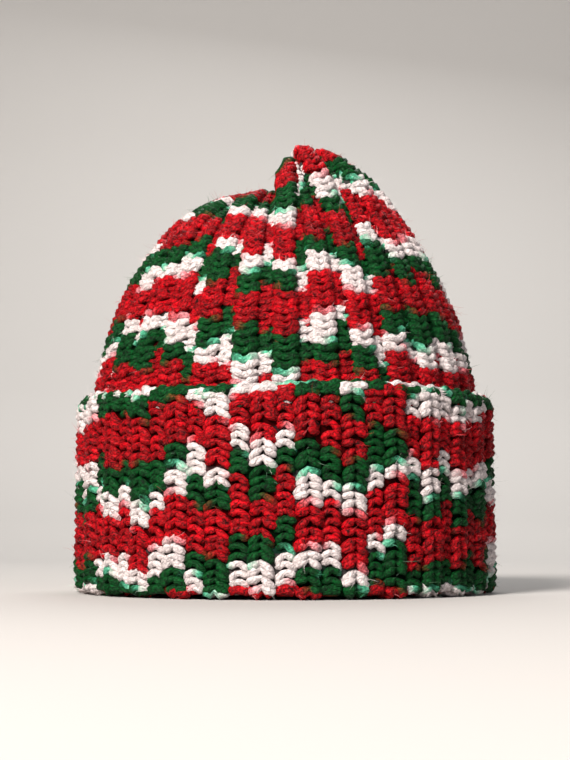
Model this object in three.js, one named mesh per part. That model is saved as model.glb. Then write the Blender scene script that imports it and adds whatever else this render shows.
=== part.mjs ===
// A hand-crocheted beanie in space-dyed worsted yarn, standing on its rim as it keeps its worn shape.
// It is one ribbed fabric, worked sideways in rows that run up the hat, seamed into a tube, drawn together at the
// top with a yarn tail, and turned up once at the rim.
// Pieces: crown (the fabric from the rim up to the gathered top), cuff (the turned-up layer with the fold it hangs
// on) and closing_yarn (the knotted tail that fills the gathered hole).
// Millimetres, +Z up, the front of the hat faces -Y, the origin is under the middle of the rim.
import * as THREE from "three";
import { mergeVertices } from "three/addons/utils/BufferGeometryUtils.js";

// Overall sizes, measured over the crests of the ribs of the cuff.
const HAT_WIDTH = 197;
const HAT_DEPTH = 216;
const CUFF_HEIGHT = 88;
const CROWN_RISE = 101;

// The fabric: one layer's thickness over a rib, the depth of the groove between two ribs, and the number of ribs.
const CROWN_LAYER = 6.5;
const CUFF_LAYER = 7.2;
const GROOVE_DEPTH = 3;
const INNER_GROOVE_DEPTH = 1.2;
const RIBS = 32;
const CLEARANCE = 0.3;

// The fold at the rim: its thickness under the crown's edge, and how far its corners are rounded.
const FOLD_THICKNESS = 6.5;
const RIM_ROUNDING = 3.4;
const CUFF_EDGE_ROUNDING = 3.2;
const CUFF_EDGE_WAVE = 1.6;

// The gathered top: the hole that the closing yarn fills, the dimple round it, and the pleats that the ribs make.
const GATHER_RADIUS = 7;
const GATHER_DIMPLE = 9;
const GATHER_LEFT = 4;
const GATHER_BACK = 8;
const RIBS_PER_PLEAT = 2;
const PLEAT_DEPTH = 4.5;
const PLEAT_SPREAD = 0.85;
const PLEATS_START = 0.8;
const PLEATS_FULL = 0.38;

// The fold of fabric that stands up in front of the gather, a little to the right of the middle.
const HUMP_RISE = 22;
const HUMP_RIGHT = 9;
const HUMP_FRONT = 20;
const HUMP_LEFT_WIDTH = 14;
const HUMP_RIGHT_WIDTH = 44;
const HUMP_HALF_LENGTH = 30;

// The closing yarn: a knotted tail, standing a little over the edge of the hole.
const KNOT_HEIGHT = 9;
const KNOT_PROUD = 2.5;

// One rib in section: where each point lies across the rib's pitch, and how far it sinks, as a share of the groove.
const RIB_SECTION = [
  { across: 0.0, sunk: 0.0 },
  { across: 0.27, sunk: 0.18 },
  { across: 0.5, sunk: 1.0 },
  { across: 0.73, sunk: 0.18 },
];

// The crown's outline over the cuff: its half-width and its rise, as shares of the crown's half-width and rise.
const CROWN_OUTLINE = [
  { spread: 1.0, rise: 0.0 },
  { spread: 0.967, rise: 0.18 },
  { spread: 0.905, rise: 0.38 },
  { spread: 0.815, rise: 0.56 },
  { spread: 0.7, rise: 0.725 },
  { spread: 0.56, rise: 0.865 },
  { spread: 0.4, rise: 0.955 },
  { spread: 0.24, rise: 1.0 },
];

// Where the crown's rings of points lie, as shares of the outline's length from the rim to the gather.
const OUTER_RINGS = [
  0, 0.14, 0.33, 0.38, 0.43, 0.48, 0.53, 0.58, 0.63, 0.68, 0.73, 0.77, 0.81, 0.845, 0.88, 0.91, 0.935, 0.958, 0.98, 1,
];
const INNER_RINGS = [0.975, 0.94, 0.9, 0.85, 0.79, 0.72, 0.64, 0.56, 0.46, 0.35, 0.18, 0];

const crownHalfWidth = HAT_WIDTH / 2 - CUFF_LAYER - CLEARANCE;
const crownHalfDepth = HAT_DEPTH / 2 - CUFF_LAYER - CLEARANCE;
const crownMeanRadius = (crownHalfWidth + crownHalfDepth) / 2;
const crownFoot = FOLD_THICKNESS + CLEARANCE;
const domeTop = CUFF_HEIGHT + CROWN_RISE;
const gatherFloor = domeTop - GATHER_DIMPLE;

const smooth = (low, high, value) => {
  const t = THREE.MathUtils.clamp((value - low) / (high - low), 0, 1);
  return t * t * (3 - 2 * t);
};

// The places round the hat, in turns, where each ring has a point, with the sunk share of the rib there.
function ringTurns(startRib) {
  const places = [];
  for (let rib = 0; rib < RIBS; rib++) {
    for (const { across, sunk } of RIB_SECTION) {
      places.push({ turn: (startRib + rib + across) / RIBS, sunk });
    }
  }
  return places;
}

// A closed body from rings of points: each ring closes round the hat, and the last ring joins the first.
function bodyFromRings(rings) {
  const across = rings[0].length;
  const positions = new Float32Array(rings.flat().flatMap((p) => [p.x, p.y, p.z]));
  const faces = [];
  for (let ring = 0; ring < rings.length; ring++) {
    const next = (ring + 1) % rings.length;
    for (let i = 0; i < across; i++) {
      const j = (i + 1) % across;
      const a = ring * across + i;
      const b = ring * across + j;
      const c = next * across + j;
      const d = next * across + i;
      faces.push(a, b, c, a, c, d);
    }
  }
  return new THREE.BufferGeometry().setAttribute("position", new THREE.BufferAttribute(positions, 3)).setIndex(faces);
}

// The crown's outline as a curve of radius and height: straight up inside the cuff, over the dome, into the dimple.
const outline = new THREE.SplineCurve([
  new THREE.Vector2(crownMeanRadius, crownFoot),
  new THREE.Vector2(crownMeanRadius, (crownFoot + CUFF_HEIGHT) / 2),
  ...CROWN_OUTLINE.map(
    ({ spread, rise }) => new THREE.Vector2(spread * crownMeanRadius, CUFF_HEIGHT + rise * CROWN_RISE),
  ),
  new THREE.Vector2(GATHER_RADIUS * 1.35, domeTop - GATHER_DIMPLE * 0.3),
  new THREE.Vector2(GATHER_RADIUS, gatherFloor),
]);
outline.arcLengthDivisions = 600;

// The standing fold over the gather: a flat-topped mound, steeper on its left, that fades out before the hole.
function humpAt(x, y) {
  const across = Math.abs(x - HUMP_RIGHT) / (x < HUMP_RIGHT ? HUMP_LEFT_WIDTH : HUMP_RIGHT_WIDTH);
  const along = (y + HUMP_FRONT) / HUMP_HALF_LENGTH;
  const fromGather = Math.hypot(x + GATHER_LEFT, y - GATHER_BACK);
  const mound = HUMP_RISE * Math.exp(-(across ** 3) - along ** 2);
  return mound * smooth(GATHER_RADIUS, 3 * GATHER_RADIUS, fromGather);
}

// A point of the crown: turn goes once round the hat, share runs along the outline, and sunk is its depth in the wall.
function crownPoint(turn, share, sunk) {
  const at = outline.getPointAt(share);
  const along = outline.getTangentAt(share);
  const spread = at.x / crownMeanRadius;
  // The ribs in between sink into the pleats, and the others spread over them.
  const pleatShare = smooth(PLEATS_START, PLEATS_FULL, spread) * smooth(1, 0.94, share);
  const perTurn = (2 * Math.PI * RIBS) / RIBS_PER_PLEAT;
  const depth = sunk + PLEAT_DEPTH * pleatShare * (0.5 - 0.5 * Math.cos(perTurn * turn));
  const angle = 2 * Math.PI * (turn + (PLEAT_SPREAD * pleatShare * Math.sin(perTurn * turn)) / perTurn);
  const height = at.y + depth * along.x;
  const roundness = 1 - spread;
  const widthShare = crownHalfWidth + (crownMeanRadius - crownHalfWidth) * roundness;
  const depthShare = crownHalfDepth + (crownMeanRadius - crownHalfDepth) * roundness;
  const drift = smooth(0.75, 0.1, spread);
  const x = (spread * widthShare - depth * along.y) * Math.cos(angle) - GATHER_LEFT * drift;
  const y = (spread * depthShare - depth * along.y) * Math.sin(angle) + GATHER_BACK * drift;
  return new THREE.Vector3(x, y, height + humpAt(x, y));
}

function crownGeometry() {
  const places = ringTurns(0);
  const rings = [];
  for (const share of OUTER_RINGS) {
    // The layer behind the cuff is pressed flat, and the ribs close up again at the edge of the hole.
    const height = outline.getPointAt(share).y;
    const relief = height > CUFF_HEIGHT - CUFF_EDGE_ROUNDING ? GROOVE_DEPTH * smooth(1, 0.94, share) : 0;
    rings.push(places.map(({ turn, sunk }) => crownPoint(turn, share, relief * sunk)));
  }
  for (const share of INNER_RINGS) {
    const relief = INNER_GROOVE_DEPTH * smooth(1, 0.85, share);
    rings.push(places.map(({ turn, sunk }) => crownPoint(turn, share, CROWN_LAYER - relief * (1 - sunk))));
  }
  return bodyFromRings(rings);
}

// The cuff in section, from its inner corner at the fold, under the rim, up the outside and down behind itself.
// in: how far inside the crests the point lies; up: its height; relief: how much of the rib's groove shows there;
// wave: how much of the top edge's waviness it follows.
function cuffSection() {
  const inner = CUFF_LAYER + CLEARANCE + CROWN_LAYER;
  const edge = CUFF_HEIGHT;
  const round = RIM_ROUNDING;
  return [
    { in: inner, up: FOLD_THICKNESS, relief: 0, wave: 0 },
    { in: inner, up: round, relief: 0, wave: 0 },
    { in: inner - 0.3 * round, up: 0.3 * round, relief: 0, wave: 0 },
    { in: inner - round, up: 0, relief: 0, wave: 0 },
    { in: round, up: 0, relief: 0.5, wave: 0 },
    { in: 0.3 * round, up: 0.3 * round, relief: 0.8, wave: 0 },
    { in: 0, up: round, relief: 1, wave: 0 },
    { in: 0, up: 0.5 * edge, relief: 1, wave: 0.3 },
    { in: 0, up: edge - CUFF_EDGE_ROUNDING, relief: 1, wave: 1 },
    { in: 0.3 * CUFF_EDGE_ROUNDING, up: edge - 0.3 * CUFF_EDGE_ROUNDING, relief: 0.8, wave: 1 },
    { in: 0.5 * CUFF_LAYER, up: edge, relief: 0.2, wave: 1 },
    { in: CUFF_LAYER, up: edge - 0.7 * CUFF_EDGE_ROUNDING, relief: 0, wave: 1 },
    { in: CUFF_LAYER, up: FOLD_THICKNESS, relief: 0, wave: 0 },
  ];
}

// The cuff's ribs are the other face of the same rows, so they stand between those of the crown.
function cuffGeometry() {
  const places = ringTurns(0.5);
  const rings = cuffSection().map(({ in: inset, up, relief, wave }) =>
    places.map(({ turn, sunk }) => {
      const angle = 2 * Math.PI * turn;
      const inward = inset + relief * sunk * GROOVE_DEPTH;
      const lift = wave * CUFF_EDGE_WAVE * (0.6 * Math.cos(2 * angle + 0.7) + 0.4 * Math.cos(5 * angle));
      return new THREE.Vector3(
        (HAT_WIDTH / 2 - inward) * Math.cos(angle),
        (HAT_DEPTH / 2 - inward) * Math.sin(angle),
        up + lift,
      );
    }),
  );
  return bodyFromRings(rings);
}

// The closing yarn: a plug with a rounded head, seated in the edge of the gathered hole.
function closingYarnGeometry() {
  const radius = GATHER_RADIUS - CLEARANCE;
  const low = gatherFloor - KNOT_HEIGHT + KNOT_PROUD;
  const high = gatherFloor + KNOT_PROUD;
  const profile = [
    new THREE.Vector2(0, low),
    new THREE.Vector2(0.7 * radius, low),
    new THREE.Vector2(radius, low + 0.3 * radius),
    new THREE.Vector2(radius, high - 0.5 * radius),
    new THREE.Vector2(0.86 * radius, high - 0.22 * radius),
    new THREE.Vector2(0.5 * radius, high),
    new THREE.Vector2(0, high),
  ];
  const lathe = new THREE.LatheGeometry(profile, 24);
  lathe.deleteAttribute("normal");
  lathe.deleteAttribute("uv");
  const solid = mergeVertices(lathe, 1e-3);
  // A lathe turns about Y, so it is stood up along +Z and moved over the gather.
  solid.rotateX(Math.PI / 2);
  return solid.translate(-GATHER_LEFT, GATHER_BACK, 0);
}

// The yarn is dyed red, green and white by turns; the solids carry red, which there is most of.
const yarn = new THREE.MeshStandardMaterial({ color: 0xa3141d, roughness: 0.75, metalness: 0 });

const pieces = [
  { name: "crown", geometry: crownGeometry() },
  { name: "cuff", geometry: cuffGeometry() },
  { name: "closing_yarn", geometry: closingYarnGeometry() },
];

const beanie = new THREE.Group();
for (const { name, geometry } of pieces) {
  geometry.computeVertexNormals();
  const mesh = new THREE.Mesh(geometry, yarn);
  mesh.name = name;
  beanie.add(mesh);
}

export default beanie;
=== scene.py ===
"""The looks of a ribbed crochet beanie in space-dyed yarn, standing on its rim.

The hat is one fabric of rows that run up it. Wide rows stand out as ribs and narrow rows are sunk between
them; on the turned-up cuff the fabric shows its other face, so there the sunk rows stand out. Each visible row
is laid as the yarn itself: one long strand that crosses its row to and fro, two crossings to a stitch. The yarn
is dyed red, green and white by turns, so the colour of a point depends only on how far along the yarn it lies.
Metres, +Z up, the front faces -Y. A turn is once round the hat, counted from +X towards +Y.
"""

import math

import bpy
import numpy as np
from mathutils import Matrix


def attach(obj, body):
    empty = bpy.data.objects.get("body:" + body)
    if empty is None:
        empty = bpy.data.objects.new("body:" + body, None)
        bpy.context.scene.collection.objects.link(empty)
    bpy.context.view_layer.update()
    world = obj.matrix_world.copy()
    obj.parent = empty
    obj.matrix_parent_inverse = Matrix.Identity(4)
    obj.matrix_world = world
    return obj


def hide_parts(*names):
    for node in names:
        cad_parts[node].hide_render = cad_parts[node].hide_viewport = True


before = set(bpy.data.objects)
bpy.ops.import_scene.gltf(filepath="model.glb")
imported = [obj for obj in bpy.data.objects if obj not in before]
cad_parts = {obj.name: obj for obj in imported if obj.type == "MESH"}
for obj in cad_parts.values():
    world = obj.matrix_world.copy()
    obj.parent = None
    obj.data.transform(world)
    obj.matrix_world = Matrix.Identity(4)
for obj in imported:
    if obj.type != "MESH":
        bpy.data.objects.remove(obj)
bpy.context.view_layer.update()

# The crown's raised rows: worsted acrylic yarn about 3.4 mm thick, crocheted in rows of two crossings to a 7 mm
# stitch. They start behind the cuff's edge and close up in pleats round the gathered top, every other rib
# sinking into a pleat. They stand for the crown's solid and follow its shape.
RIBS = 32
STITCH = 0.0070
YARN_RADIUS = 0.0017
CROWN_HALF_WIDTH = 0.0910
CROWN_HALF_DEPTH = 0.1005
CROWN_FOOT = 0.0068
CUFF_HEIGHT = 0.088
CROWN_RISE = 0.101
GATHER_RADIUS = 0.007
GATHER_DIMPLE = 0.009
GATHER_LEFT = 0.004
GATHER_BACK = 0.008
PLEAT_DEPTH = 0.0045
PLEAT_SPREAD = 0.85
PLEATS_START = 0.80
PLEATS_FULL = 0.38
HUMP_RISE = 0.022
HUMP_RIGHT = 0.009
HUMP_FRONT = 0.020
HUMP_LEFT_WIDTH = 0.014
HUMP_RIGHT_WIDTH = 0.044
HUMP_HALF_LENGTH = 0.030
crown_mean = (CROWN_HALF_WIDTH + CROWN_HALF_DEPTH) / 2
dome_top = CUFF_HEIGHT + CROWN_RISE


def smooth(low, high, value):
    """0 at low, 1 at high, and an S-curve between."""
    t = np.clip((value - low) / (high - low), 0, 1)
    return t * t * (3 - 2 * t)


def outline_through(points):
    """A smooth curve through points of a plane, each stretch a cubic that takes its end slopes from the points
    beside it. Gives rows of arc length, the two coordinates and the two slopes."""
    padded = np.vstack([points[:1], points, points[-1:]])
    p0, p1, p2, p3 = (padded[i : len(points) - 1 + i, None] for i in range(4))
    t = np.linspace(0, 1, 200, endpoint=False)[None, :, None]
    curve = p1 + t * (p2 - p0) / 2 + t**2 * (p0 - 2.5 * p1 + 2 * p2 - p3 / 2)
    curve = curve + t**3 * (1.5 * (p1 - p2) + (p3 - p0) / 2)
    curve = np.vstack([curve.reshape(-1, 2), points[-1:]])
    arc = np.concatenate([[0], np.cumsum(np.linalg.norm(np.diff(curve, axis=0), axis=1))])
    slope = np.gradient(curve, arc, axis=0)
    return np.column_stack([arc, curve, slope / np.linalg.norm(slope, axis=1, keepdims=True)]).T


# The crown's outline over the cuff: half-width and rise, as shares of the crown's own.
dome = np.array(
    [
        (1.000, 0.000),
        (0.967, 0.180),
        (0.905, 0.380),
        (0.815, 0.560),
        (0.700, 0.725),
        (0.560, 0.865),
        (0.400, 0.955),
        (0.240, 1.000),
    ]
)
wall = [(crown_mean, CROWN_FOOT), (crown_mean, (CROWN_FOOT + CUFF_HEIGHT) / 2)]
dimple = [(GATHER_RADIUS * 1.35, dome_top - GATHER_DIMPLE * 0.3), (GATHER_RADIUS, dome_top - GATHER_DIMPLE)]
crown_outline = outline_through(np.vstack([wall, dome * (crown_mean, CROWN_RISE) + (0, CUFF_HEIGHT), dimple]))
crown_length = crown_outline[0, -1]


def hump_at(x, y):
    """How high the fold in front of the gather stands: a mound that falls off with the cube of the distance
    across it and the square of the distance along it, is steeper on its left, and fades out at the gather."""
    across = np.abs(x - HUMP_RIGHT) / np.where(x < HUMP_RIGHT, HUMP_LEFT_WIDTH, HUMP_RIGHT_WIDTH)
    along = (y + HUMP_FRONT) / HUMP_HALF_LENGTH
    from_gather = np.hypot(x + GATHER_LEFT, y - GATHER_BACK)
    return HUMP_RISE * np.exp(-(across**3) - along**2) * smooth(GATHER_RADIUS, 3 * GATHER_RADIUS, from_gather)


def crown_pleat(arc):
    """How far the ribs have drawn together into pleats: an S-curve from 0 to 1 as the dome narrows, and back to
    0 just before the hole."""
    spread = np.interp(arc, crown_outline[0], crown_outline[1]) / crown_mean
    return smooth(PLEATS_START, PLEATS_FULL, spread) * smooth(1, 0.94, arc / crown_length)


def crown_skin(turn, arc, pleat):
    """The crown's outer face: its outline carried round an oval, which drifts to the gather as it narrows, with
    every other rib sunk by a cosine of the turn, and the fold added. Arc runs up the outline from the rim."""
    r, z, slope_r, slope_z = (np.interp(arc, crown_outline[0], column) for column in crown_outline[1:])
    spread = r / crown_mean
    per_turn = math.pi * RIBS
    sink = PLEAT_DEPTH * pleat * (0.5 - 0.5 * np.cos(per_turn * turn))
    angle = 2 * math.pi * (turn + PLEAT_SPREAD * pleat * np.sin(per_turn * turn) / per_turn)
    drift = smooth(0.75, 0.1, spread)
    half_width = CROWN_HALF_WIDTH + (crown_mean - CROWN_HALF_WIDTH) * (1 - spread)
    half_depth = CROWN_HALF_DEPTH + (crown_mean - CROWN_HALF_DEPTH) * (1 - spread)
    x = (spread * half_width - sink * slope_z) * np.cos(angle) - GATHER_LEFT * drift
    y = (spread * half_depth - sink * slope_z) * np.sin(angle) + GATHER_BACK * drift
    return np.stack([x, y, z + sink * slope_r + hump_at(x, y)], -1)


def crown_point(turn, arc, depth):
    """A point of the crown: its outer face less depth times the outward normal of the face without pleats. The
    normal is the cross product of two short steps, round the hat and up it."""
    round_it = crown_skin(turn + 0.004, arc, 0) - crown_skin(turn - 0.004, arc, 0)
    up_it = crown_skin(turn, arc + 0.001, 0) - crown_skin(turn, arc - 0.001, 0)
    outward = np.cross(round_it, up_it)
    outward /= np.linalg.norm(outward, axis=-1, keepdims=True)
    return crown_skin(turn, arc, crown_pleat(arc)) - outward * np.asarray(depth)[..., None]


def outward_of(point_at, turn, arc, depth):
    """The unit direction out of the fabric, from a 0.2 mm step towards its outer face."""
    out = point_at(turn, arc, depth - 0.0002) - point_at(turn, arc, depth)
    return out / np.linalg.norm(out, axis=-1, keepdims=True)


def wander(rng, where, step):
    """A smooth random value from -1 to 1 along each row: a new one every step, eased between."""
    at = where / step
    whole = np.floor(at).astype(int)
    whole = whole - whole.min()
    picks = rng.uniform(-1, 1, (len(where), whole.max() + 2))
    ease = smooth(0, 1, at - np.floor(at))
    lane = np.arange(len(where))[:, None]
    return picks[lane, whole] * (1 - ease) + picks[lane, whole + 1] * ease


def mesh_object(name, points, faces, face_uv, values):
    """An object of a mesh of quads, with a UV for each face corner and named values for each point or face."""
    mesh = bpy.data.meshes.new(name)
    mesh.vertices.add(len(points))
    mesh.vertices.foreach_set("co", points.astype(np.float32).ravel())
    mesh.loops.add(faces.size)
    mesh.loops.foreach_set("vertex_index", faces.astype(np.int32).ravel())
    mesh.polygons.add(len(faces))
    mesh.polygons.foreach_set("loop_start", np.arange(0, faces.size, 4, dtype=np.int32))
    mesh.polygons.foreach_set("use_smooth", np.ones(len(faces), bool))
    mesh.update(calc_edges=True)
    mesh.uv_layers.new(name="yarn_uv").data.foreach_set("uv", face_uv.astype(np.float32).ravel())
    for key, value in values.items():
        domain = "FACE" if value.size == len(faces) else "POINT"
        mesh.attributes.new(key, "FLOAT", domain).data.foreach_set("value", value.astype(np.float32).ravel())
    obj = bpy.data.objects.new(name, mesh)
    bpy.context.scene.collection.objects.link(obj)
    return obj


def yarn_tubes(name, path, out, radius, dye, sides):
    """Tubes of yarn, one for each row of path: a point plus radius times the cosine and sine of the angle round
    it, along the two directions square to the path. They narrow to a point at both ends and are pressed flat on
    the floor. The UV is metres along the yarn and turns round it."""
    rows, count = path.shape[:2]
    along = np.gradient(path, axis=1)
    along /= np.linalg.norm(along, axis=-1, keepdims=True)
    up = out - (out * along).sum(-1, keepdims=True) * along
    up /= np.linalg.norm(up, axis=-1, keepdims=True)
    side = np.cross(along, up)
    end = np.minimum(np.arange(count), np.arange(count)[::-1])
    radius = radius * np.sqrt(np.clip(end / 2, 0.02, 1))
    around = np.linspace(0, 2 * math.pi, sides, endpoint=False)[:, None]
    ring = up[:, :, None] * np.cos(around) + side[:, :, None] * np.sin(around)
    points = path[:, :, None] + ring * radius[:, :, None, None]
    points[..., 2] = np.maximum(points[..., 2], 0)
    row, i, j = np.meshgrid(np.arange(rows), np.arange(count - 1), np.arange(sides), indexing="ij")
    first, second = (row * count + i) * sides, (row * count + i + 1) * sides
    after = (j + 1) % sides
    faces = np.stack([first + j, first + after, second + after, second + j], -1).reshape(-1, 4)
    step = np.linalg.norm(np.diff(path, axis=1), axis=-1)
    metres = np.concatenate([np.zeros((rows, 1)), np.cumsum(step, axis=1)], axis=1)
    u0, u1 = metres[row, i], metres[row, i + 1]
    v0, v1 = j / sides, (j + 1) / sides
    face_uv = np.stack([u0, v0, u0, v1, u1, v1, u1, v0], -1).reshape(-1, 2)
    spread_dye = np.repeat(dye[:, :, None], sides, axis=2)
    return mesh_object(name, points.reshape(-1, 3), faces, face_uv, {"dye": spread_dye})


# The dye. A repeat is red, green, white, red, white, green, with red centred on 0 and on a half, so it reads
# the same both ways. Row 2j is the raised row of rib j on the crown and goes up the hat; row 2j + 1 is the sunk
# one after it and comes down. Every row starts at the cuff's edge near the same place in the dye, so its bands
# run on round the hat, but green and white change places wherever a row took half a repeat more.
REPEAT = 0.082
ROW_LENGTH = 0.3485
EDGE_DYE = 0.138
HALF_REPEAT_CHANCE = 0.24
dye_rng = np.random.default_rng(11)
row_swap = np.cumsum(dye_rng.choice([0, 0.5], 2 * RIBS, p=[1 - HALF_REPEAT_CHANCE, HALF_REPEAT_CHANCE]))
row_drift = 0.04 * np.sin(2 * math.pi * np.arange(2 * RIBS) / 21)
row_start = EDGE_DYE + dye_rng.normal(0, 0.05, 2 * RIBS) + row_drift


def dye_of(row, course):
    """Repeats of the dye along the yarn, for a row and its distance from the cuff's edge: the row's start plus
    distance over repeat, counted backwards in every other row, with two slow waves for the uneven dyeing."""
    slow = 0.030 * np.sin(2 * math.pi * course / 0.067 + 2.4 * row)
    quick = 0.016 * np.sin(2 * math.pi * course / 0.029 + row)
    return row_swap[row] + np.where(row % 2 == 0, 1, -1) * (row_start[row] + course / REPEAT + (slow + quick))


def crossing_path(steps, per_stitch, rng):
    """The yarn of RIBS rows in plan: stitches so far, across as a cosine of them from -0.5 to 0.5 and back, and
    stitches along the row. A sine keeps each crossing nearly level, so that the yarn moves on at the edges."""
    t = np.linspace(0, steps, steps * per_stitch + 1)[None, :].repeat(RIBS, 0)
    across = -0.5 * np.cos(2 * math.pi * t)
    forward = t + 0.8 * np.sin(4 * math.pi * t) / (4 * math.pi)
    forward = forward + 0.12 * wander(rng, t, 0.5) + 0.10 * wander(rng, t, 2.7)
    return t, across, forward


def node(tree, kind, settings=None, **inputs):
    """Adds a shader node. An input is a value or another node's output, named or, as i0, i1, i2, numbered."""
    made = tree.nodes.new(kind)
    for key, value in (settings or {}).items():
        setattr(made, key, value)
    for key, value in inputs.items():
        numbered = key[0] == "i" and key[1:].isdigit()
        socket = made.inputs[int(key[1:]) if numbered else key.replace("_", " ")]
        if isinstance(value, bpy.types.NodeSocket):
            tree.links.new(value, socket)
        else:
            socket.default_value = value
    return made


def linear(hex_colour):
    """A linear RGBA colour from an sRGB hex code."""
    parts = [int(hex_colour[i : i + 2], 16) / 255 for i in (0, 2, 4)]
    return [c / 12.92 if c <= 0.04045 else ((c + 0.055) / 1.055) ** 2.4 for c in parts] + [1]


# The dye's colours along one repeat. Mint and pink are where green or red has bled into white.
RED = "C40012"
DEEP_RED = "A0000C"
GREEN = "004418"
MINT = "58B892"
WHITE = "D6C9C6"
PINK = "E4848A"
DYE_STOPS = [
    (0.000, RED),
    (0.110, DEEP_RED),
    (0.124, GREEN),
    (0.256, GREEN),
    (0.268, MINT),
    (0.280, WHITE),
    (0.374, WHITE),
    (0.386, PINK),
    (0.398, RED),
    (0.500, DEEP_RED),
    (0.602, RED),
    (0.614, PINK),
    (0.626, WHITE),
    (0.720, WHITE),
    (0.732, MINT),
    (0.744, GREEN),
    (0.876, GREEN),
    (0.890, DEEP_RED),
]


def maths(tree, operation, *values):
    """The output of a Math node."""
    inputs = {f"i{number}": value for number, value in enumerate(values)}
    return node(tree, "ShaderNodeMath", {"operation": operation}, **inputs).outputs[0]


def dyed_colour(tree):
    """The yarn's colour from the dye value on the mesh. Noise 1.4 mm long makes each colour's edge ragged."""
    dye = node(tree, "ShaderNodeAttribute", {"attribute_name": "dye"}).outputs["Fac"]
    place = node(tree, "ShaderNodeTexCoord").outputs["Object"]
    ragged = node(tree, "ShaderNodeTexNoise", Vector=place, Scale=700.0, Detail=2.0).outputs["Fac"]
    in_repeat = maths(tree, "FRACT", maths(tree, "MULTIPLY_ADD", ragged, 0.012, dye))
    ramp = node(tree, "ShaderNodeValToRGB", Fac=in_repeat)
    stops = ramp.color_ramp.elements
    while len(stops) < len(DYE_STOPS):
        stops.new(0.5)
    for stop, (position, colour) in zip(stops, DYE_STOPS):
        stop.position = position
        stop.color = linear(colour)
    return ramp.outputs["Color"], place


PLIES = 4
TWIST_LENGTH = 0.011


def yarn_material():
    """Spun acrylic yarn, four plies twisted once in 11 mm. The plies give the eye slanting ridges, with painted
    shade darkening the grooves between them, the fibres along them a fine grain, and the uneven spinning and
    dyeing lighter and darker spots. It is nearly matt, and its whites keep less of the painted groove shade and
    the spots than its reds and greens."""
    material = bpy.data.materials.new("space_dyed_acrylic_yarn")
    material.use_nodes = True
    tree = material.node_tree
    tree.nodes.clear()
    colour, place = dyed_colour(tree)
    uv = node(tree, "ShaderNodeUVMap", {"uv_map": "yarn_uv"}).outputs["UV"]
    split = node(tree, "ShaderNodeSeparateXYZ", Vector=uv)
    twist = maths(tree, "MULTIPLY", split.outputs["X"], PLIES / TWIST_LENGTH)
    loose = node(tree, "ShaderNodeTexNoise", Vector=place, Scale=480.0, Detail=2.0).outputs["Fac"]
    turned = maths(tree, "MULTIPLY_ADD", loose, 3.2, twist)
    around = maths(tree, "MULTIPLY_ADD", split.outputs["Y"], float(PLIES), turned)
    in_ply = maths(tree, "PINGPONG", around, 0.5)
    ply = maths(tree, "POWER", maths(tree, "SINE", in_ply), 0.6)
    fibre_place = node(tree, "ShaderNodeCombineXYZ", X=around, Y=split.outputs["X"]).outputs[0]
    stretched = node(
        tree, "ShaderNodeVectorMath", {"operation": "MULTIPLY"}, i0=fibre_place, i1=(8.0, 520.0, 1.0)
    ).outputs[0]
    fibre = node(tree, "ShaderNodeTexNoise", Vector=stretched, Scale=1.0, Detail=3.0).outputs["Fac"]
    spots = node(tree, "ShaderNodeTexNoise", Vector=place, Scale=330.0, Detail=4.0, Roughness=0.8).outputs["Fac"]
    # Painted shade: the colour is darkened in the grooves between the plies; the spots add random lighter and
    # darker tone.
    value = maths(tree, "MULTIPLY_ADD", spots, 2.55, maths(tree, "MULTIPLY_ADD", ply, 1.1, -1.16))
    whiteness = node(tree, "ShaderNodeSeparateColor", Color=colour).outputs["Green"]
    groove_shade_and_spots_strength = maths(tree, "MULTIPLY_ADD", whiteness, -0.95, 1.0)
    shaded = node(tree, "ShaderNodeHueSaturation", Color=colour, Value=value, Fac=groove_shade_and_spots_strength).outputs[0]
    ply_bump = node(tree, "ShaderNodeBump", Height=ply, Strength=1.0, Distance=0.0007).outputs[0]
    fibre_bump = node(
        tree, "ShaderNodeBump", Height=fibre, Strength=1.0, Distance=0.0004, Normal=ply_bump
    ).outputs[0]
    rough = maths(tree, "MULTIPLY_ADD", fibre, 0.30, maths(tree, "MULTIPLY_ADD", ply, -0.45, 0.62))
    shader = node(tree, "ShaderNodeBsdfPrincipled", Base_Color=shaded, Roughness=rough, Normal=fibre_bump)
    shader.inputs["Specular IOR Level"].default_value = 0.12
    node(tree, "ShaderNodeOutputMaterial", Surface=shader.outputs[0])
    return material


yarn = yarn_material()
crown_rising = slice(0, int(np.argmax(crown_outline[2])))


def crown_arc_at(height):
    """The arc at which the crown's outline reaches a height."""
    return np.interp(height, crown_outline[2, crown_rising], crown_outline[0, crown_rising])


def crown_row_arc(forward):
    """Arc of a point forward stitches up a crown row, kept between the ends of the row."""
    return np.clip(crown_start + forward * STITCH, crown_start, crown_length - 0.0005)


def crown_pitch(arc):
    """The room that one rib has round the crown."""
    return 2 * math.pi * np.interp(arc, crown_outline[0], crown_outline[1]) / RIBS


# The shares are of a rib's pitch, and the chevron is how far a crossing's ends lie ahead of its middle, in
# stitches. Yarn that crosses is fat on both sides of the middle and thin where it dives, at the row's edges.
RAISED_SHARE = 0.68
RAISED_CHEVRON = 0.42
RAISED_BOW = 0.0019
RAISED_DIVE = 0.0014
CROWN_ROWS_FOOT = 0.079
crown_start = crown_arc_at(CROWN_ROWS_FOOT)
crown_course = ROW_LENGTH - crown_length
crown_stitches = round((crown_length - crown_start) / STITCH)
ridge_rng = np.random.default_rng(21)
t, across, forward = crossing_path(crown_stitches, 18, ridge_rng)
sway = 1 + 0.3 * wander(ridge_rng, t, 1.3)
forward = forward + RAISED_CHEVRON * sway * np.abs(2 * across) + 0.10 * wander(ridge_rng, t, 4.0) * across
rib = np.arange(RIBS)[:, None]
arc = crown_row_arc(forward)
on_crest = np.where(rib % 2 == 0, 1, -1)
pitch = crown_pitch(arc) * (1 + 0.7 * PLEAT_SPREAD * crown_pleat(arc) * on_crest)
slim = np.clip(pitch / 0.0105, 0.5, 1)
lump = np.abs(np.sin(2 * math.pi * across))
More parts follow.
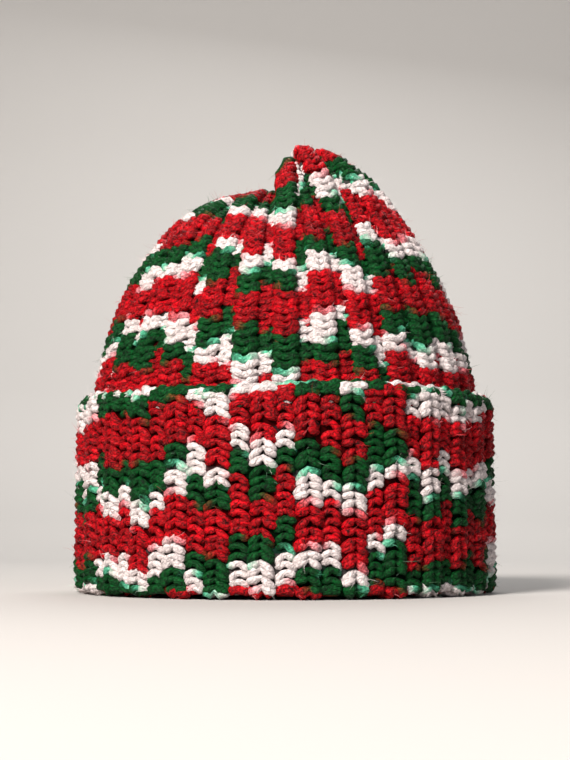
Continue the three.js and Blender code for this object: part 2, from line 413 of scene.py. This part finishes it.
radius = YARN_RADIUS * slim * (0.66 + 0.46 * lump + 0.09 * wander(ridge_rng, t, 0.3))
depth = YARN_RADIUS + RAISED_BOW * (2 * across) ** 2 * slim + RAISED_DIVE * (1 - lump) * slim
depth = depth + RAISED_DIVE * smooth(0.38, 0.5, np.abs(across)) + 0.0004 * wander(ridge_rng, t, 0.5)
turn = (rib + across * RAISED_SHARE) / RIBS + 0.0011 * wander(ridge_rng, t, 3.0)
crown_path = crown_point(turn, arc, depth)
crown_out = outward_of(crown_point, turn, arc, depth)
crown_dye = dye_of(2 * rib, crown_course + crown_start + t * STITCH)
crown_ribs = yarn_tubes("crown_ribs", crown_path, crown_out, radius, crown_dye, 7)
fluffy = [(crown_path, crown_out, radius, crown_dye)]
crown_ribs.data.materials.append(yarn)
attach(crown_ribs, "root")
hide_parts("crown")

# The crown's sunk rows: the same yarn on its way back down. They are narrower, and their middles lie 3.4 mm
# deeper than those of the raised rows.
SUNK_SHARE = 0.30
SUNK_DEPTH = 0.0051
SUNK_RADIUS = 0.00145
valley_rng = np.random.default_rng(22)
t, across, forward = crossing_path(crown_stitches, 12, valley_rng)
forward = forward + 0.10 * np.sin(2 * math.pi * (across + 0.4))
arc = crown_row_arc(forward)
slim = np.clip(crown_pitch(arc) / 0.0125, 0.45, 1)
radius = SUNK_RADIUS * slim * (1 + 0.10 * wander(valley_rng, t, 0.3))
depth = SUNK_DEPTH + 0.0006 * (2 * across) ** 2 + 0.0003 * wander(valley_rng, t, 1.1)
turn = (rib + 0.5 + across * SUNK_SHARE) / RIBS
crown_valleys = yarn_tubes(
    "crown_valleys",
    crown_point(turn, arc, depth),
    outward_of(crown_point, turn, arc, depth),
    radius,
    dye_of(2 * rib + 1, crown_course + crown_start + t * STITCH),
    6,
)
crown_valleys.data.materials.append(yarn)
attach(crown_valleys, "root")

# The cuff: the end of the same rows, folded up outside the crown, so that its other face shows. The rows that
# are sunk on the crown stand out here and are the wider ones. It is pressed flat where the hat stands on it.
HALF_WIDTH = 0.0985
HALF_DEPTH = 0.108
CUFF_LAYER = 0.0072
WALL = 0.0140
CUFF_EDGE_WAVE = 0.0016
cuff_outline = outline_through(
    np.array(
        [
            (CUFF_LAYER, 0.078),
            (CUFF_LAYER - 0.0005, 0.0845),
            (CUFF_LAYER / 2, CUFF_HEIGHT),
            (0.0006, 0.0850),
            (0, 0.0790),
            (0, 0.0500),
            (0, 0.0200),
            (0, 0.0060),
            (0.0012, 0.0014),
            (0.0042, 0),
            (WALL - 0.0042, 0),
            (WALL - 0.0012, 0.0014),
            (WALL, 0.0060),
            (WALL, 0.0240),
        ]
    )
)
cuff_length = cuff_outline[0, -1]


def cuff_point(turn, arc, depth):
    """A point of the cuff: its outline, less depth along its normal, carried round an oval and lifted by two
    cosines of the turn towards its edge. Arc runs from behind the edge, down, under the rim and up inside."""
    inward, z, slope_in, slope_z = (np.interp(arc, cuff_outline[0], column) for column in cuff_outline[1:])
    angle = 2 * math.pi * turn
    inward = inward - depth * slope_z
    lift = CUFF_EDGE_WAVE * smooth(0, 0.08, z) * (0.6 * np.cos(2 * angle + 0.7) + 0.4 * np.cos(5 * angle))
    x = (HALF_WIDTH - inward) * np.cos(angle)
    y = (HALF_DEPTH - inward) * np.sin(angle)
    return np.stack([x, y, z + depth * slope_in + lift], -1)


def from_cuff_edge(t):
    """0 at the edge, where the rows lie level, to 1 at 20 mm, where they are as loose as elsewhere."""
    return smooth(0.006, 0.020, t * STITCH)


CUFF_RAISED_SHARE = 0.60
CUFF_RAISED_CHEVRON = 0.50
CUFF_RAISED_BOW = 0.0016
CUFF_RAISED_DIVE = 0.0020
cuff_stitches = round(cuff_length / STITCH)
cuff_rng = np.random.default_rng(31)
t, across, forward = crossing_path(cuff_stitches, 16, cuff_rng)
slant = (0.12 * np.where(rib % 3 == 0, -1, 1) + 0.20 * wander(cuff_rng, t, 2.3)) * across
bent = (CUFF_RAISED_CHEVRON + 0.16 * wander(cuff_rng, t, 1.0)) * np.abs(2 * across)
bent = bent + 0.12 * wander(cuff_rng, t, 0.45)
from_edge = from_cuff_edge(t)
forward = t + (forward - t + slant + bent) * from_edge
arc = np.clip(forward * STITCH, 0, cuff_length)
lump = np.abs(np.sin(2 * math.pi * (across + 0.05 * wander(cuff_rng, t, 0.7))))
radius = YARN_RADIUS * (0.62 + 0.50 * lump + 0.10 * wander(cuff_rng, t, 0.25) + 0.15 * (1 - from_edge))
depth = CUFF_RAISED_BOW * (2 * across) ** 2 + CUFF_RAISED_DIVE * (1 - lump)
depth = depth + 0.0012 * smooth(0.38, 0.5, np.abs(across)) + 0.0008 * wander(cuff_rng, t, 0.5)
depth = np.maximum(YARN_RADIUS + depth * from_edge, radius)
share = CUFF_RAISED_SHARE + 0.08 * wander(cuff_rng, t, 0.5)
turn = (rib + 0.5 + across * share) / RIBS + 0.0012 * wander(cuff_rng, t, 3.0)
cuff_path = cuff_point(turn, arc, depth)
cuff_out = outward_of(cuff_point, turn, arc, depth)
cuff_dye = dye_of(2 * rib + 1, t * STITCH)
cuff_ribs = yarn_tubes("cuff_ribs", cuff_path, cuff_out, radius, cuff_dye, 7)
fluffy.append((cuff_path, cuff_out, radius, cuff_dye))
cuff_ribs.data.materials.append(yarn)
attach(cuff_ribs, "root")
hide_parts("cuff")

# The cuff's sunk rows, which are the crown's raised ones seen from behind. They lie 1.6 mm deeper than the rows
# between them.
CUFF_SUNK_SHARE = 0.44
CUFF_SUNK_CHEVRON = 0.40
CUFF_SUNK_DEPTH = 0.0016
CUFF_SUNK_RADIUS = 0.00165
t, across, forward = crossing_path(cuff_stitches, 14, cuff_rng)
from_edge = from_cuff_edge(t)
slant = (0.12 - 0.20 * wander(cuff_rng, t, 2.3)) * across
forward = t + (forward - t + slant + CUFF_SUNK_CHEVRON * np.abs(2 * across)) * from_edge
arc = np.clip(forward * STITCH, 0, cuff_length)
lump = np.abs(np.sin(2 * math.pi * across))
radius = CUFF_SUNK_RADIUS * (0.66 + 0.44 * lump + 0.10 * wander(cuff_rng, t, 0.25) + 0.15 * (1 - from_edge))
depth = CUFF_SUNK_DEPTH + 0.0006 * (2 * across) ** 2 + 0.0012 * (1 - lump) + 0.0007 * wander(cuff_rng, t, 0.5)
depth = YARN_RADIUS + depth * from_edge
turn = (rib + across * (CUFF_SUNK_SHARE + 0.08 * wander(cuff_rng, t, 0.5))) / RIBS
cuff_valleys = yarn_tubes(
    "cuff_valleys",
    cuff_point(turn, arc, depth),
    outward_of(cuff_point, turn, arc, depth),
    radius,
    dye_of(2 * rib, t * STITCH),
    6,
)
cuff_valleys.data.materials.append(yarn)
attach(cuff_valleys, "root")

# The crown's other face, inside the hat. There the sunk rows stand out and the raised ones lie 1.2 mm behind
# them. It is the same yarn again, seen where the hat is looked into from below.
CROWN_LAYER = 0.0065
INNER_ROWS_FOOT = 0.022
INNER_ROWS_END = 0.009
inner_rng = np.random.default_rng(41)
inner_start = crown_arc_at(INNER_ROWS_FOOT)
inner_stitches = round((crown_length - INNER_ROWS_END - inner_start) / STITCH)
t, across, forward = crossing_path(inner_stitches, 10, inner_rng)
forward = forward + 0.16 * np.abs(2 * across) + 0.30 * across * (1 + 0.5 * wander(inner_rng, t, 1.3))
arc = np.clip(inner_start + forward * STITCH, inner_start, crown_length - INNER_ROWS_END)
slim = np.clip(crown_pitch(arc) / 0.0125, 0.45, 1)
for inner_name, row, lane, share, sunk in (
    ("inner_ribs", 2 * rib + 1, rib + 0.5, 0.56, 0.0),
    ("inner_valleys", 2 * rib, rib, 0.46, 0.0012),
):
    depth = CROWN_LAYER - sunk - 0.0014 * slim - 0.0010 * (2 * across) ** 2
    turn = (lane + across * share) / RIBS
    inner_rows = yarn_tubes(
        inner_name,
        crown_point(turn, arc, depth),
        -outward_of(crown_point, turn, arc, depth),
        SUNK_RADIUS * slim * (1 + 0.10 * wander(inner_rng, t, 0.3)),
        dye_of(row, crown_course + inner_start + t * STITCH),
        5,
    )
    inner_rows.data.materials.append(yarn)
    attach(inner_rows, "root")

# The yarn behind: the legs of the stitches, which fill the fabric between its two faces. They show only as shade
# in the gaps between strands, so they are laid as one thin closed layer for each of crown and cuff, with that
# shade painted in.
BEHIND_DEPTH = 0.0034
BEHIND_THICKNESS = 0.0006


def layer_behind(name, point_at, turns, arcs, outer_depth, inner_depth, rows_at):
    """A closed shell: every turn crossed with the arcs out at one depth and back at the other. The dye is kept
    for each face, from the middle of the row that it lies on."""
    turn, arc = np.meshgrid(turns, np.concatenate([arcs, arcs[::-1]]), indexing="ij")
    depth = np.where(np.arange(arc.shape[1]) < len(arcs), outer_depth(turn), inner_depth(turn))
    points = point_at(turn, arc, depth)
    n, m = arc.shape
    i, j = np.meshgrid(np.arange(n), np.arange(m), indexing="ij")
    next_i, next_j = (i + 1) % n, (j + 1) % m
    faces = np.stack([i * m + j, next_i * m + j, next_i * m + next_j, i * m + next_j], -1).reshape(-1, 4)
    uv = np.stack([arc, turn], -1).reshape(-1, 2)[faces.ravel()]
    middle_turn = turn + (turns[1] - turns[0]) / 2
    return mesh_object(name, points.reshape(-1, 3), faces, uv, {"dye": rows_at(middle_turn, arc)})


def painted_shade_behind_material():
    """The same dyed yarn, packed into lumps 3.5 mm apart, with painted shade: its colour is kept at a few
    hundredths of its brightness, for the shade of the strands before it.
    """
    material = bpy.data.materials.new("yarn_behind_painted_shade")
    material.use_nodes = True
    tree = material.node_tree
    tree.nodes.clear()
    colour, place = dyed_colour(tree)
    lumps = node(tree, "ShaderNodeTexVoronoi", Vector=place, Scale=280.0).outputs["Distance"]
    # Painted shade: the dye's colour is kept at 2 to 7 percent of its brightness.
    value = maths(tree, "MULTIPLY_ADD", lumps, -0.05, 0.07)
    shaded = node(tree, "ShaderNodeHueSaturation", Color=colour, Value=value).outputs[0]
    bump = node(tree, "ShaderNodeBump", {"invert": True}, Height=lumps, Strength=0.8, Distance=0.001).outputs[0]
    shader = node(tree, "ShaderNodeBsdfPrincipled", Base_Color=shaded, Roughness=0.8, Normal=bump)
    shader.inputs["Specular IOR Level"].default_value = 0.02
    node(tree, "ShaderNodeOutputMaterial", Surface=shader.outputs[0])
    return material


def nearest_row(turn):
    """The number of the row that a turn falls on."""
    return np.floor(turn * 2 * RIBS + 0.5).astype(int) % (2 * RIBS)


def crown_rows_at(turn, arc):
    """The dye of the crown's rows."""
    return dye_of(nearest_row(turn), crown_course + arc)


def cuff_rows_at(turn, arc):
    """The dye of the cuff's rows."""
    return dye_of(nearest_row(turn), arc)


def crown_between(turn):
    """Depth of the crown's layer behind: a cosine of the turn, deepest between two ribs."""
    return BEHIND_DEPTH + 0.0017 * (0.5 - 0.5 * np.cos(2 * math.pi * RIBS * turn))


def cuff_between(turn):
    """Depth of the cuff's layer behind, deepest under its sunk rows."""
    return BEHIND_DEPTH + 0.0008 * (0.5 + 0.5 * np.cos(2 * math.pi * RIBS * turn))


behind = painted_shade_behind_material()
turns = np.arange(RIBS * 6) / (RIBS * 6)
for behind_name, point_at, arcs, between, rows_at in (
    ("crown_behind", crown_point, np.linspace(0.001, crown_length - 0.002, 60), crown_between, crown_rows_at),
    ("cuff_behind", cuff_point, np.linspace(0.0125, cuff_length - 0.001, 48), cuff_between, cuff_rows_at),
):
    layer = layer_behind(
        behind_name, point_at, turns, arcs, between, lambda turn: between(turn) + BEHIND_THICKNESS, rows_at
    )
    layer.data.materials.append(behind)
    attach(layer, "root")

# The cuff's edge is the end of every row, where the yarn turns and starts the next row: a cord of short loops.
# It is green, mint and white, because the rows all start near there in the dye.
EDGE_ARC = 0.0102
EDGE_RADIUS = 0.0012
t = np.linspace(0, 1, 2 * RIBS * 12 + 1)[None, :]
edge_rng = np.random.default_rng(51)
arc = EDGE_ARC + 0.0007 * np.sin(2 * math.pi * 2 * RIBS * t) + 0.0004 * wander(edge_rng, t, 0.02)
depth = 0.0002 + 0.0004 * np.cos(2 * math.pi * 4 * RIBS * t)
edge_cord = yarn_tubes(
    "edge_cord",
    cuff_point(t, arc, depth),
    outward_of(cuff_point, t, arc, depth),
    EDGE_RADIUS * (1 + 0.12 * np.sin(2 * math.pi * 4 * RIBS * t)),
    0.27 + 0.15 * wander(edge_rng, t, 0.029),
    6,
)
edge_cord.data.materials.append(yarn)
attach(edge_cord, "root")

# The seam that closes the fabric into a tube, at the back: one strand of the same yarn, whipped over the two
# edge rows, up the crown to the gathered top and over the cuff's own face.
SEAM_ROW = 17
SEAM_RADIUS = 0.0014
BITE = 0.0085
BITE_OVER = 0.62
for seam_name, point_at, first_arc, last_arc, lane, outer in (
    ("crown_seam", crown_point, crown_start, crown_length - 0.004, SEAM_ROW / 2, 0.0012),
    ("cuff_seam", cuff_point, 0.002, cuff_length - 0.004, (SEAM_ROW - 1) / 2, 0.0016),
):
    bites = round((last_arc - first_arc) / BITE)
    t = np.linspace(0, bites, bites * 16 + 1)[None, :]
    outside = t % 1 < BITE_OVER
    over = np.where(outside, -1 + 2 * smooth(0, BITE_OVER, t % 1), 1 - 2 * smooth(BITE_OVER, 1, t % 1))
    arc = first_arc + (last_arc - first_arc) * (t + 0.35 * over) / bites
    arc = np.clip(arc, first_arc, last_arc)
    depth = np.where(outside, outer + 0.0022 * over**2, outer + 0.0058)
    narrow = np.interp(arc, crown_outline[0], crown_outline[1]) / crown_mean if point_at is crown_point else 1
    seam = yarn_tubes(
        seam_name,
        point_at((lane + 0.20 * over) / RIBS, arc, depth),
        outward_of(point_at, (lane + 0.20 * over) / RIBS, arc, depth),
        SEAM_RADIUS * np.clip(0.3 + narrow, 0.5, 1) * np.ones_like(t),
        dye_of(np.full(t.shape, SEAM_ROW), arc),
        7,
    )
    seam.data.materials.append(yarn)
    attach(seam, "root")

# The closing yarn: the tail of the yarn, run through the ends of the rows, pulled tight and knotted. It fills
# the hole with two and a half turns round its edge, passes to and fro above and below, and a knot on top.
hole_z = dome_top - GATHER_DIMPLE


def in_the_hole(x, y, z):
    """Points given from the middle of the hole."""
    return np.stack([x - GATHER_LEFT, y + GATHER_BACK, z + hole_z + 0 * x], -1)


def strand_in_the_hole(name, path, out, radius, dye):
    """One strand of even thickness and one colour."""
    strand = yarn_tubes(name, path, out + 0 * path, radius + 0 * path[..., 0], dye + 0 * path[..., 0], 8)
    strand.data.materials.append(yarn)
    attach(strand, "root")
    return strand


t = np.linspace(0, 2 * math.pi * 2.5, 160)[None, :]
ring = 0.0053 - 0.00006 * t
coil = strand_in_the_hole(
    "closing_coil",
    in_the_hole(ring * np.cos(t), ring * np.sin(t), 0.0014 - 0.0004 * t),
    np.stack([np.cos(t), np.sin(t), 1 + 0 * t], -1),
    0.0014,
    0.02,
)
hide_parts("closing_yarn")
t = np.linspace(0, 6 * math.pi, 240)[None, :]
ring = 0.0056 * np.cos(t)
for pass_name, side, lead in (("closing_passes_above", 1, 0.3), ("closing_passes_below", -1, 1.1)):
    rise = 0.0012 + 0.0016 * np.sin(t) ** 2 + 0.0001 * t
    rise = rise if side > 0 else -0.0062 - 0.5 * rise
    strand_in_the_hole(
        pass_name,
        in_the_hole(ring * np.cos(lead + 0.36 * t), ring * np.sin(lead + 0.36 * t), rise),
        np.array([0, 0, side]),
        0.0013,
        0.02 if side > 0 else 0.35,
    )
KNOT = 0.0009
t = np.linspace(0.2, 2 * math.pi - 0.2, 120)[None, :]
trefoil = in_the_hole(
    KNOT * (np.sin(t) + 2 * np.sin(2 * t)),
    KNOT * (np.cos(t) - 2 * np.cos(2 * t)),
    0.0050 - KNOT * np.sin(3 * t),
)
strand_in_the_hole("closing_knot", trefoil, np.array([0, 0, 1.0]), 0.0012, 0.04)
# A plug in the near-black material of the layer behind closes the hole under the strands: painted shade, where
# only the shadow inside the hole would show.
plug_radius = np.array([0.0001, 0.0058, 0.0066, 0.0066, 0.0055, 0.0001])
plug_height = np.array([-0.0060, -0.0060, -0.0045, 0.0000, 0.0012, 0.0014])
sides, rings = 24, len(plug_radius)
angle = np.linspace(0, 2 * math.pi, sides, endpoint=False)[:, None]
plug_points = in_the_hole(plug_radius * np.cos(angle), plug_radius * np.sin(angle), plug_height + 0 * angle)
i, j = np.meshgrid(np.arange(sides), np.arange(rings - 1), indexing="ij")
here, beside = i * rings + j, (i + 1) % sides * rings + j
plug_faces = np.stack([here, beside, beside + 1, here + 1], -1).reshape(-1, 4)
plug_dye = np.full(sides * rings, 0.02)
plug_uv = np.zeros((plug_faces.size, 2))
plug = mesh_object("closing_fill_painted_shade", plug_points.reshape(-1, 3), plug_faces, plug_uv, {"dye": plug_dye})
plug.data.materials.append(behind)
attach(plug, "root")

# Loose fibres: the fuzz that acrylic yarn raises, up to 3.6 mm long. It stands off the strands as thin blades,
# three faces each, takes the colour of the yarn at its root, and softens the outline.
FIBRES = 24000
SHORTEST_FIBRE = 0.0012
LONGEST_FIBRE = 0.0036
FIBRE_HALF_WIDTH = 0.00007
fuzz_rng = np.random.default_rng(61)
share = np.array([path.shape[0] * path.shape[1] for path, _, _, _ in fluffy])
roots, ways, alongs, dyes, girths = [], [], [], [], []
for (path, out, radius, dye), count in zip(fluffy, (FIBRES * share / share.sum()).astype(int)):
    row = fuzz_rng.integers(0, path.shape[0], count)
    place = fuzz_rng.integers(1, path.shape[1] - 1, count)
    along = path[row, place + 1] - path[row, place - 1]
    along /= np.linalg.norm(along, axis=1, keepdims=True)
    side = np.cross(along, out[row, place])
    lean = fuzz_rng.uniform(-1.2, 1.2, (count, 1))
    way = out[row, place] * np.cos(lean) + side * np.sin(lean)
    roots.append(path[row, place] + way * radius[row, place, None] * 0.9)
    ways.append(way)
    alongs.append(along * fuzz_rng.choice([-1, 1], (count, 1)))
    dyes.append(dye[row, place])
    girths.append(radius[row, place] / YARN_RADIUS)
root, way, along, dye = np.vstack(roots), np.vstack(ways), np.vstack(alongs), np.concatenate(dyes)
count = len(root)
girth = np.concatenate(girths)[:, None, None]
length = fuzz_rng.uniform(SHORTEST_FIBRE, LONGEST_FIBRE, (count, 1, 1)) * girth**2
first = (0.85 * along + 0.45 * way + 0.25 * fuzz_rng.normal(0, 1, (count, 3)))[:, None]
bend = (0.35 * way * fuzz_rng.uniform(-1, 1, (count, 1)) + 0.30 * fuzz_rng.normal(0, 1, (count, 3)))[:, None]
s = np.linspace(0, 1, 4)[None, :, None]
middle = root[:, None] + length * (s * first + s**2 * bend)
flat = np.cross(first, fuzz_rng.normal(0, 1, (count, 1, 3)))
flat /= np.linalg.norm(flat, axis=-1, keepdims=True)
half = FIBRE_HALF_WIDTH * (1 - 0.8 * s)
points = np.stack([middle - flat * half, middle + flat * half], 2)
points[..., 2] = np.maximum(points[..., 2], 0.0001)
i, j = np.meshgrid(np.arange(count), np.arange(3), indexing="ij")
corner = (i * 4 + j) * 2
faces = np.stack([corner, corner + 1, corner + 3, corner + 2], -1).reshape(-1, 4)
fibre_uv = np.zeros((faces.size, 2))
fuzz = mesh_object("loose_fibres", points.reshape(-1, 3), faces, fibre_uv, {"dye": np.repeat(dye, 8)})
# Single acrylic fibres: smoother than the spun yarn, so they catch the light.
fibre_material = bpy.data.materials.new("loose_acrylic_fibre")
fibre_material.use_nodes = True
fibre_tree = fibre_material.node_tree
fibre_tree.nodes.clear()
fibre_colour, _ = dyed_colour(fibre_tree)
fibre_shader = node(fibre_tree, "ShaderNodeBsdfPrincipled", Base_Color=fibre_colour, Roughness=0.5)
node(fibre_tree, "ShaderNodeOutputMaterial", Surface=fibre_shader.outputs[0])
fuzz.data.materials.append(fibre_material)
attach(fuzz, "root")

# The floor and the wall behind it: one sweep of matt paper with painted light, darker near the hat and paler at
# the back, standing for more light on the wall.
sweep_y = np.array([-3.0, 1.2, 1.6, 1.9, 2.0, 2.0])
sweep_z = np.array([0, 0, 0.06, 0.3, 0.8, 4.0])
sweep_points = [(x, y, z) for y, z in zip(sweep_y, sweep_z) for x in (-4.0, 4.0)]
sweep_faces = [(2 * i, 2 * i + 1, 2 * i + 3, 2 * i + 2) for i in range(len(sweep_y) - 1)]
sweep_mesh = bpy.data.meshes.new("pale_sweep")
sweep_mesh.from_pydata(sweep_points, [], sweep_faces)
sweep_mesh.polygons.foreach_set("use_smooth", [True] * len(sweep_faces))
sweep = bpy.data.objects.new("pale_sweep", sweep_mesh)
bpy.context.scene.collection.objects.link(sweep)
paper = bpy.data.materials.new("pale_paper")
paper.use_nodes = True
paper_tree = paper.node_tree
paper_tree.nodes.clear()
paper_place = node(paper_tree, "ShaderNodeTexCoord").outputs["Object"]
paper_y = node(paper_tree, "ShaderNodeSeparateXYZ", Vector=paper_place).outputs["Y"]
# Painted light: the paper is painted paler the further back it lies, from A09C98 near the hat to C6C3BF at the
# back.
paper_light_share = node(paper_tree, "ShaderNodeMapRange", Value=paper_y, From_Min=-0.2, From_Max=1.9)
paper_painted_light = node(paper_tree, "ShaderNodeValToRGB", Fac=paper_light_share.outputs["Result"])
paper_painted_light.color_ramp.elements[0].color = linear("A09C98")
paper_painted_light.color_ramp.elements[1].color = linear("C6C3BF")
paper_shader = node(
    paper_tree, "ShaderNodeBsdfPrincipled", Base_Color=paper_painted_light.outputs["Color"], Roughness=0.9
)
node(paper_tree, "ShaderNodeOutputMaterial", Surface=paper_shader.outputs[0])
sweep_mesh.materials.append(paper)


def area_light(name, place, target, size, power, colour):
    """A soft square light at place, turned towards target."""
    data = bpy.data.lights.new(name, "AREA")
    data.size = size
    data.energy = power
    data.color = linear(colour)[:3]
    lamp = bpy.data.objects.new(name, data)
    lamp.location = place
    toward = np.array(target) - np.array(place)
    tilt = math.atan2(math.hypot(*toward[:2]), -toward[2])
    lamp.rotation_euler = (tilt, 0, math.atan2(-toward[0], toward[1]))
    bpy.context.scene.collection.objects.link(lamp)


area_light("key", (-0.7, -1.35, 1.0), (0, 0, 0.1), 0.45, 80, "FFFAF6")
area_light("fill", (1.3, -1.2, 0.6), (0, 0, 0.1), 1.2, 10, "F4F7FF")
area_light("back", (0.2, 1.2, 1.6), (0, 0, 0.1), 1.2, 24, "FFFFFF")
world = bpy.data.worlds.new("soft_room")
world.use_nodes = True
world.node_tree.nodes["Background"].inputs["Color"].default_value = linear("DCDCDE")
world.node_tree.nodes["Background"].inputs["Strength"].default_value = 0.18
bpy.context.scene.world = world
bpy.context.scene.view_settings.view_transform = "Standard"

# The camera looks at the front, low and nearly level: as close to the photograph's view from below as the floor
# lets it be.
camera_data = bpy.data.cameras.new("camera")
camera_data.lens = 68
camera = bpy.data.objects.new("camera", camera_data)
camera.location = (0, -0.68, 0.022)
aim = np.array([0, 0, 0.100]) - np.array(camera.location)
camera.rotation_euler = (math.pi / 2 + math.atan2(aim[2], aim[1]), 0, 0)
bpy.context.scene.collection.objects.link(camera)
bpy.context.scene.camera = camera
